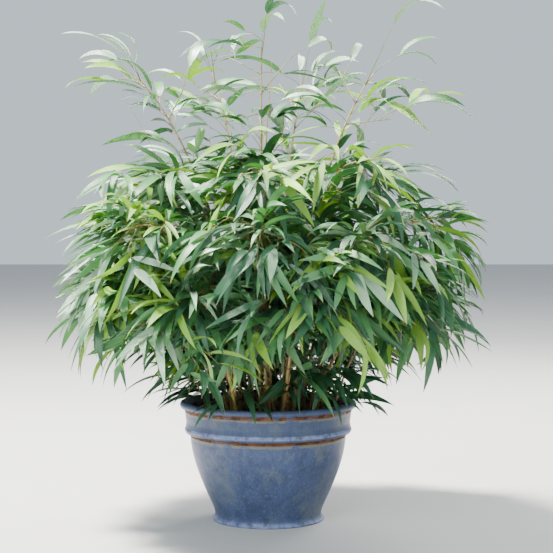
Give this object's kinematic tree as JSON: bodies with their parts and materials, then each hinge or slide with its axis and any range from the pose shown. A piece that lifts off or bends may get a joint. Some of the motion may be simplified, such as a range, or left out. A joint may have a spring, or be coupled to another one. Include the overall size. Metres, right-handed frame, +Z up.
{
  "type": "potted bamboo",
  "caption": "Clump of leafy bamboo with arching canes and long pointed leaves, growing in a round glazed pot with a rolled rim and a raised band.",
  "frame": {"origin": "centre of the pot's flat underside, on the ground", "axes": "+Z up through the pot, -Y the front, +X to the right seen from the front"},
  "size_m": [1.0196, 0.9429, 1.2175],
  "materials": {
    "glaze": "gloss",
    "soil": "matte",
    "cane": "satin",
    "leaf": "satin"
  },
  "bodies": {
    "root": {"pot": "glaze", "soil": "soil", "cane_skirt_1": "cane", "leaves_skirt_1": "leaf", "cane_skirt_2": "cane", "leaves_skirt_2": "leaf", "cane_skirt_3": "cane", "leaves_skirt_3": "leaf", "cane_skirt_4": "cane", "leaves_skirt_4": "leaf", "cane_skirt_5": "cane", "leaves_skirt_5": "leaf", "cane_skirt_6": "cane", "leaves_skirt_6": "leaf", "cane_skirt_7": "cane", "leaves_skirt_7": "leaf", "cane_skirt_8": "cane", "leaves_skirt_8": "leaf", "cane_middle_1": "cane", "leaves_middle_1": "leaf", "cane_middle_2": "cane", "leaves_middle_2": "leaf", "cane_middle_3": "cane", "leaves_middle_3": "leaf", "cane_middle_4": "cane", "leaves_middle_4": "leaf", "cane_middle_5": "cane", "leaves_middle_5": "leaf", "cane_middle_6": "cane", "leaves_middle_6": "leaf", "cane_middle_7": "cane", "leaves_middle_7": "leaf", "cane_middle_8": "cane", "leaves_middle_8": "leaf", "cane_shoulder_1": "cane", "leaves_shoulder_1": "leaf", "cane_shoulder_2": "cane", "leaves_shoulder_2": "leaf", "cane_shoulder_3": "cane", "leaves_shoulder_3": "leaf", "cane_shoulder_4": "cane", "leaves_shoulder_4": "leaf", "cane_shoulder_5": "cane", "leaves_shoulder_5": "leaf", "cane_shoulder_6": "cane", "leaves_shoulder_6": "leaf", "cane_dome_1": "cane", "leaves_dome_1": "leaf", "cane_spire_1": "cane", "leaves_spire_1": "leaf", "cane_spire_2": "cane", "leaves_spire_2": "leaf", "cane_spire_3": "cane", "leaves_spire_3": "leaf", "cane_spire_4": "cane", "leaves_spire_4": "leaf", "cane_spire_5": "cane", "leaves_spire_5": "leaf"}
  },
  "joints": []
}
